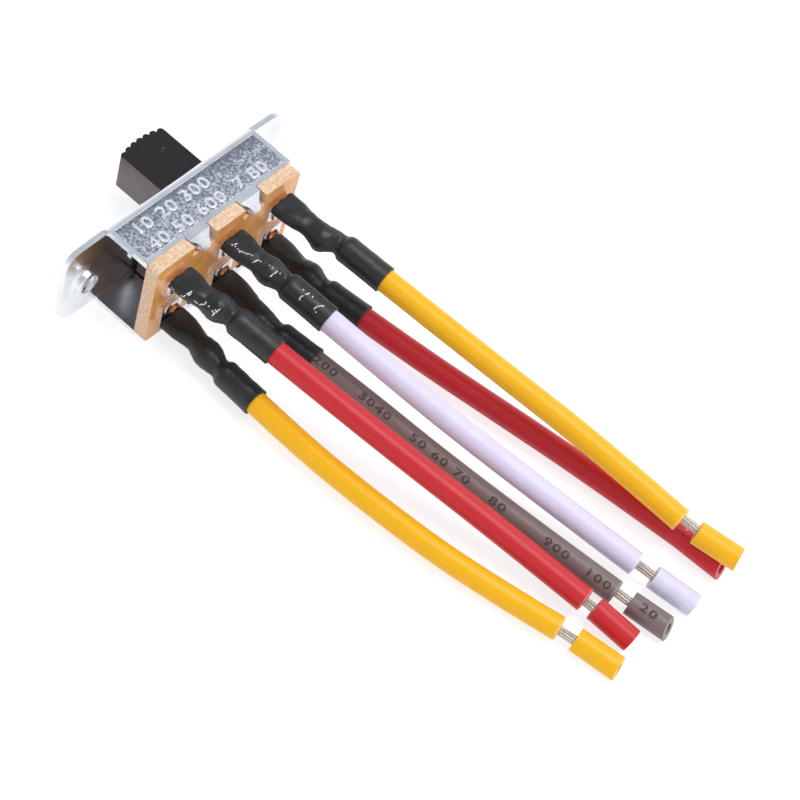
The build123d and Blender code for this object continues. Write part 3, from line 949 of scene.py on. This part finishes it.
def section_at(distance):
    """Half width, half height and squareness at a distance from a sleeve's start."""
    for near, far in zip(STATIONS, STATIONS[1:]):
        if distance <= far[0]:
            break
    share = min(1.0, (distance - near[0]) / (far[0] - near[0]))
    share = share * share * (3 - 2 * share)
    return [a + (b - a) * share for a, b in zip(near[1:], far[1:])]


def hump(place, centre, spread):
    """1 at the centre, falling off smoothly to either side."""
    return math.exp(-(((place - centre) / spread) ** 2))


# Where the sleeve swells over the solder and where it necks in beside it: mm along, and spread.
SWELL = (5.8, 1.3)
NECKS = ((3.8, 0.9), (7.6, 0.6))


def sleeve_point(spot, bulge, index):
    """Where a point of the round tube comes to lie across the centre line."""
    width, height, square = section_at(spot.z)
    corner = min(abs(spot.x), abs(spot.y))
    swell = hump(spot.z, *SWELL)
    necks = sum(hump(spot.z, *neck) for neck in NECKS)
    start = max(0.0, 1 - spot.z / 0.5)
    seed = Vector((index * 7.0, index * 3.0, 0))
    fold = noise.noise(Vector((spot.x * 1.5, spot.y * 1.5, spot.z * 0.9)) + seed)
    fine = noise.noise(Vector((spot.x * 4.0, spot.y * 4.0, spot.z * 2.6)) + seed)
    grow = fold * (0.04 + 0.1 * necks) + fine * (0.015 + 0.03 * necks)
    x = spot.x * (width * (1 + 0.12 * square * corner) + grow) + bulge[0] * swell
    y = spot.y * (height * (1 + square * corner) + grow) + bulge[1] * swell
    ragged = start * 0.18 * noise.noise(Vector((spot.x * 3.0, spot.y * 3.0, 9.0)) + seed)
    return Vector((x, y, ragged)) * MM


class SWITCH_OT_sleeves(bpy.types.Operator):
    """Make the shrunk sleeves over the soldered joints"""

    bl_idname = "switch.sleeves"
    bl_label = "Sleeves"

    rings = 58

    def execute(self, context):
        settings = context.scene.switch_leads
        tubing = shrunk_tubing(settings.sleeve)
        for index, (name, (_, route, _, bulge, grip)) in enumerate(LEADS.items()):
            line, shoulder = sleeve_line(name, metres(route))
            self.make_sleeve(name, index, line, shoulder, bulge, grip, tubing, settings.sleeve_wall)
        return {"FINISHED"}

    def make_sleeve(self, name, index, line, shoulder, bulge, grip, tubing, wall):
        """Draw a round tube up the Z axis, then press, bend and crumple it into place."""
        bm = bmesh.new()
        bmesh.ops.create_circle(bm, segments=36, radius=1.0)
        edges = list(bm.edges)
        step = STATIONS[-1][0] / self.rings
        for _ in range(self.rings):
            grown = bmesh.ops.extrude_edge_only(bm, edges=edges)["geom"]
            edges = [g for g in grown if isinstance(g, bmesh.types.BMEdge)]
            ring = [g for g in grown if isinstance(g, bmesh.types.BMVert)]
            bmesh.ops.translate(bm, verts=ring, vec=(0, 0, step))
        for v in bm.verts:
            v.co = sleeve_place(line, shoulder, grip, v.co.z) @ sleeve_point(v.co, bulge, index)
        bmesh.ops.recalc_face_normals(bm, faces=bm.faces)
        made = piece_from(bm, "shrunk_sleeve_" + name, tubing)
        thickened(made, "Wall", wall, -1.0)
        finer = made.modifiers.new("Finer", "SUBSURF")
        finer.levels = 1
        finer.render_levels = 1
        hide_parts("sleeve_" + name)


# How tall a numeral stands in its font, as a share of the font's size.
CAP_SHARE = 0.73


def numerals(text, height, stretch=1.0, spacing=1.0, relief=0.0, bevel=0.0, weight=0.0):
    """Plain numerals as a bmesh: X along the line, Y up, their left end and foot at the origin."""
    data = bpy.data.curves.new("numerals", "FONT")
    data.body = text
    data.size = height / CAP_SHARE
    data.space_character = spacing
    data.resolution_u = 3
    data.extrude = relief / 2
    data.bevel_depth = bevel
    data.bevel_resolution = 1
    data.offset = weight
    lettered = linked("numerals", data)
    mesh = bpy.data.meshes.new_from_object(lettered)
    bm = bmesh.new()
    bm.from_mesh(mesh)
    bmesh.ops.remove_doubles(bm, verts=bm.verts, dist=WELD)
    bmesh.ops.scale(bm, verts=bm.verts, vec=(stretch, 1, 1))
    bpy.data.objects.remove(lettered)
    bpy.data.curves.remove(data)
    bpy.data.meshes.remove(mesh)
    return bm


def sliced(bm, axis, pitch):
    """Cut a flat bmesh into strips across an axis, so that it can bend round a wire."""
    low = min(v.co[axis] for v in bm.verts)
    high = max(v.co[axis] for v in bm.verts)
    for i in range(1, int((high - low) / pitch) + 1):
        place = Vector((0, 0, 0))
        place[axis] = low + i * pitch
        normal = Vector((0, 0, 0))
        normal[axis] = 1
        parts = [*bm.verts, *bm.edges, *bm.faces]
        bmesh.ops.bisect_plane(bm, geom=parts, plane_co=place, plane_no=normal, dist=1e-7)


class SWITCH_OT_stamping(bpy.types.Operator):
    """Stamp the bracket's upper wall with a grained field and two rows of plain numerals"""

    bl_idname = "switch.stamping"
    bl_label = "Stamping"

    # Row by row: the numerals, and where their left foot stands on the wall in mm.
    rows = (("10 20 300", -9.4, -3.25), ("40 50 600  7 80", -9.4, -5.75))
    # The grained field's edges in mm along X and Y, its height on the wall and its grid.
    field = (-10.95, 10.95, -6.05, -1.2)
    bed = 6.29
    cells = (260, 46)

    def execute(self, context):
        settings = context.scene.switch_housing
        self.make_field(zinc_grained(settings.zinc), settings.grain)
        bright = plated("burnished_zinc", "#F6F7F9", "#D9DEE5", 0.25, 0.45 * MM, 0.02 * MM, 0.6)
        for index, (text, x, y) in enumerate(self.rows):
            relief = settings.numeral_relief
            bm = numerals(text, settings.numeral_height, 1.18, 1.1, relief * 0.5, relief * 0.4, 0.02 * MM)
            top = max(v.co.z for v in bm.verts)
            place = Matrix.Translation((x * MM, y * MM, self.bed * MM + relief - top))
            bmesh.ops.transform(bm, matrix=place, verts=bm.verts)
            piece_from(bm, "stamped_row_%d" % (index + 1), bright)
        return {"FINISHED"}

    def make_field(self, metal, grain):
        """A thin skin in the stamped recess, pitted all over and level at its rim."""
        x0, x1, y0, y1 = (edge * MM for edge in self.field)
        bm = bmesh.new()
        bmesh.ops.create_grid(bm, x_segments=self.cells[0], y_segments=self.cells[1], size=0.5)
        bmesh.ops.scale(bm, verts=bm.verts, vec=(x1 - x0, y1 - y0, 1))
        middle = ((x0 + x1) / 2, (y0 + y1) / 2, self.bed * MM)
        bmesh.ops.translate(bm, verts=bm.verts, vec=middle)
        for v in bm.verts:
            rim = min(v.co.x - x0, x1 - v.co.x, v.co.y - y0, y1 - v.co.y)
            spot = Vector((v.co.x * 0.75, v.co.y, 0)) / grain
            pits = 0.6 * noise.noise(spot) + 0.4 * noise.noise(spot * 2.1 + Vector((7, 3, 0)))
            v.co.z += min(1.0, rim / (0.25 * MM)) * (0.012 + 0.03 * pits) * MM
        thickened(piece_from(bm, "grained_field", metal), "Skin", 0.01 * MM, -1.0)


class SWITCH_OT_threads(bpy.types.Operator):
    """Cut the screw thread in the two ears' collars"""

    bl_idname = "switch.threads"
    bl_label = "Threads"

    # In mm: each collar's place along X, its bore's radius and depth, and how far the thread's
    # crest stands in from the bore and its root sinks into it.
    collars = (("left", -14.2), ("right", 14.2))
    bore = 1.25
    depth = 1.25
    crest_rise, root_sink = 0.13, 0.02
    steps_per_turn = 36

    def execute(self, context):
        settings = context.scene.switch_housing
        zinc = plated("threaded_zinc", "#E4E6EA", "#C6CAD1", 0.18, 0.5 * MM, 0.004 * MM)
        pitch = settings.thread_pitch
        turns = (self.depth * MM - pitch) / pitch
        steps = int(turns * self.steps_per_turn)
        for name, x in self.collars:
            bm = bmesh.new()
            crest, root = (self.bore - self.crest_rise) * MM, (self.bore + self.root_sink) * MM
            ridge = [
                bm.verts.new((x * MM + out, -0.15 * MM - down * pitch, 0))
                for out, down in ((root, 0.0), (crest, 0.42), (crest, 0.5), (root, 0.92))
            ]
            edges = [bm.edges.new((a, b)) for a, b in zip(ridge, ridge[1:] + ridge[:1])]
            ends = [bm.faces.new(ridge)]
            wound = bmesh.ops.spin(
                bm, geom=ridge + edges, cent=(x * MM, 0, 0), axis=(0, 1, 0),
                dvec=(0, -turns * pitch / steps, 0), angle=turns * 2 * math.pi, steps=steps, use_merge=False,
            )["geom_last"]
            ends.append(bm.faces.new([g for g in wound if isinstance(g, bmesh.types.BMVert)]))
            bmesh.ops.recalc_face_normals(bm, faces=bm.faces)
            piece_from(bm, "collar_thread_" + name, zinc)
        return {"FINISHED"}


class SWITCH_OT_print(bpy.types.Operator):
    """Print worn dashes and dots on two sleeves"""

    bl_idname = "switch.print"
    bl_label = "Print"

    # Each fragment of worn print: mm along the sleeve, mm down its near side from the middle,
    # its length and its turn in degrees.
    fragments = {
        "white_upper": (
            (0.95, 0.0, 0.08, 0), (1.15, -0.35, 0.2, -60), (1.3, -0.08, 0.06, 0), (1.8, 0.0, 0.05, 0),
            (2.1, 0.12, 0.16, 60), (2.4, -0.03, 0.36, -8), (2.77, -0.12, 0.06, 0), (3.0, -0.25, 0.08, 10),
            (3.3, -0.25, 0.05, 0), (3.88, 0.33, 0.2, -55), (3.98, 0.0, 0.28, -75), (4.12, -0.25, 0.08, 0),
            (4.37, -0.28, 0.03, 0), (5.35, -0.48, 0.05, 0), (5.75, -0.45, 0.05, 0),
            (6.2, 0.3, 0.24, -75), (6.25, 0.0, 0.18, -50), (6.37, -0.3, 0.32, -72), (6.85, -0.5, 0.05, 0),
            (10.2, -0.7, 0.08, 0), (10.83, -0.63, 0.42, -63), (10.55, -0.03, 0.24, -70),
            (10.55, 0.29, 0.24, 66), (11.47, -0.77, 0.05, 0), (12.5, 0.0, 0.24, -85),
            (12.63, -0.35, 0.32, -55), (12.92, -0.68, 0.34, -44), (12.84, 0.28, 0.05, 0),
        ),
        "red_upper": (
            (0.55, 1.1, 0.04, 0), (0.85, 1.1, 0.05, 0), (2.05, 1.15, 0.05, 0), (2.3, 1.0, 0.24, -70),
            (2.5, 0.35, 0.6, -70), (2.65, 0.5, 0.3, -72), (3.4, 0.95, 0.04, 0), (3.65, 1.0, 0.1, 0),
            (4.2, 0.78, 0.55, -48), (4.4, 0.35, 0.24, -100), (4.85, 0.45, 0.05, 0),
            (5.75, 0.85, 0.3, -77), (5.92, 0.3, 0.5, -77), (5.5, 0.65, 0.18, 20), (5.7, 0.4, 0.16, 20),
        ),
    }
    # A stroke's width, the tube's radius and the ink's stand-off as a factor, and the side of the
    # tube that bears the print.
    width, radius, lift = 0.16, 1.62, 1.012
    facing = math.radians(124)

    def execute(self, context):
        white = ink("white", "#EDEDEA", "#8E8C8C")
        names = list(LEADS)
        for name, worn in self.fragments.items():
            _, route, _, bulge, grip = LEADS[name]
            bm = bmesh.new()
            for along, down, length, turn in worn:
                placed = Matrix.Translation((along, down, 0)) @ Matrix.Rotation(math.radians(turn), 4, "Z")
                ring = bmesh.ops.create_circle(bm, cap_ends=True, segments=12, radius=self.width / 2)["verts"]
                for side in (-1, 1):
                    half = [v for v in ring if v.co.x * side > 0]
                    bmesh.ops.translate(bm, verts=half, vec=(side * length / 2, 0, 0))
                bmesh.ops.transform(bm, matrix=placed, verts=ring)
            sliced(bm, 0, 0.08)
            line, shoulder = sleeve_line(name, metres(route))
            for v in bm.verts:
                turn = self.facing + math.asin(max(-1.0, min(1.0, v.co.y / self.radius)))
                spot = Vector((math.cos(turn), math.sin(turn), v.co.x))
                outside = sleeve_point(spot, bulge, names.index(name)) * self.lift
                v.co = sleeve_place(line, shoulder, grip, v.co.x) @ outside
            bmesh.ops.recalc_face_normals(bm, faces=bm.faces)
            made = piece_from(bm, "worn_print_" + name, white)
            thickened(made, "Ink", 0.012 * MM, 0.0)
        return {"FINISHED"}


class SWITCH_PT_panel(bpy.types.Panel):
    """The switch's pieces in the order they are made."""

    bl_label = "Slide Switch"
    bl_idname = "SWITCH_PT_panel"
    bl_space_type = "VIEW_3D"
    bl_region_type = "UI"
    bl_category = "Switch"

    def draw(self, context):
        column = self.layout.column()
        for operator in OPERATORS:
            column.operator(operator.bl_idname)
        for group in (context.scene.switch_housing, context.scene.switch_leads):
            for name in group.bl_rna.properties.keys()[2:]:
                column.prop(group, name)


OPERATORS = (
    SWITCH_OT_stage,
    SWITCH_OT_leads,
    SWITCH_OT_bracket,
    SWITCH_OT_board,
    SWITCH_OT_slider,
    SWITCH_OT_contacts,
    SWITCH_OT_sleeves,
    SWITCH_OT_stamping,
    SWITCH_OT_threads,
    SWITCH_OT_print,
)
CLASSES = (LeadSettings, HousingSettings, *OPERATORS, SWITCH_PT_panel)


def register():
    for made in CLASSES:
        bpy.utils.register_class(made)
    bpy.types.Scene.switch_leads = PointerProperty(type=LeadSettings)
    bpy.types.Scene.switch_housing = PointerProperty(type=HousingSettings)


def unregister():
    del bpy.types.Scene.switch_housing
    del bpy.types.Scene.switch_leads
    for made in reversed(CLASSES):
        bpy.utils.unregister_class(made)


def main():
    register()
    for operator in OPERATORS:
        getattr(bpy.ops.switch, operator.bl_idname.split(".")[1])()


if __name__ == "__main__":
    main()
